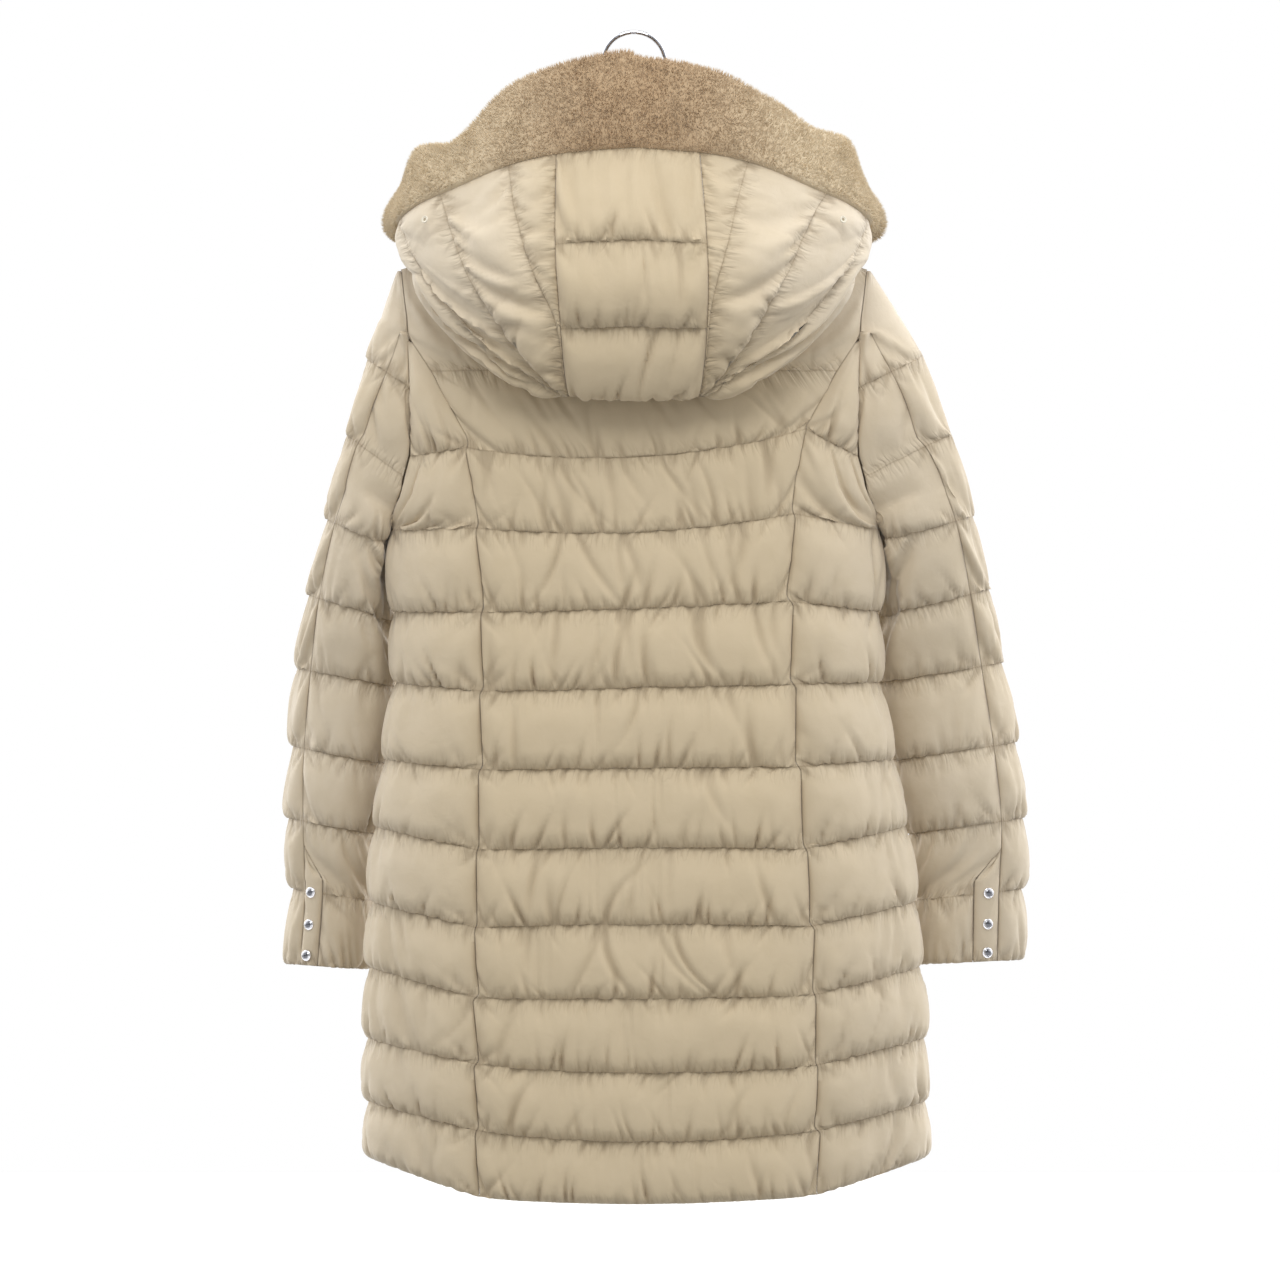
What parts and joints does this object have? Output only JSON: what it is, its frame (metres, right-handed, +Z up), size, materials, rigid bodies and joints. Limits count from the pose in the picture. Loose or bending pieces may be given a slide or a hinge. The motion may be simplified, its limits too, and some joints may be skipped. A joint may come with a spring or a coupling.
{
  "type": "long puffer coat",
  "caption": "Long down-filled coat quilted in level channels, with a fur-trimmed hood hanging down the back, snapped cuffs and front placket, on a plain hanger.",
  "frame": {"origin": "inner crown of the hanger's hook, where a rail holds it", "axes": "+Z up, +X towards the wearer's left, the fronts face -Y and the back faces +Y"},
  "size_m": [0.6745, 0.3074, 1.0525],
  "materials": {
    "shell": "matte fine plain-weave shell over down",
    "fur": "short dense pile",
    "snap": "polished",
    "button": "clear",
    "steel": "bright wire",
    "hanger": "plain"
  },
  "bodies": {
    "root": {"back_centre": "shell", "back_side_left": "shell", "back_side_right": "shell", "front_left": "shell", "front_right": "shell", "front_placket": "shell", "sleeve_upper_left": "shell", "sleeve_under_left": "shell", "sleeve_upper_right": "shell", "sleeve_under_right": "shell", "cuff_placket_left": "shell", "cuff_placket_right": "shell", "hood_centre": "shell", "hood_side_left": "shell", "hood_side_right": "shell", "fur_trim": "fur", "front_snap_1": "snap", "front_snap_2": "snap", "front_snap_3": "snap", "front_snap_4": "snap", "front_snap_5": "snap", "front_snap_6": "snap", "cuff_snap_left_1": "snap", "cuff_snap_left_2": "snap", "cuff_snap_left_3": "snap", "cuff_snap_right_1": "snap", "cuff_snap_right_2": "snap", "cuff_snap_right_3": "snap", "hood_button_left": "button", "hood_button_right": "button", "hanger_hook": "steel", "hanger_bar": "hanger"}
  },
  "joints": []
}
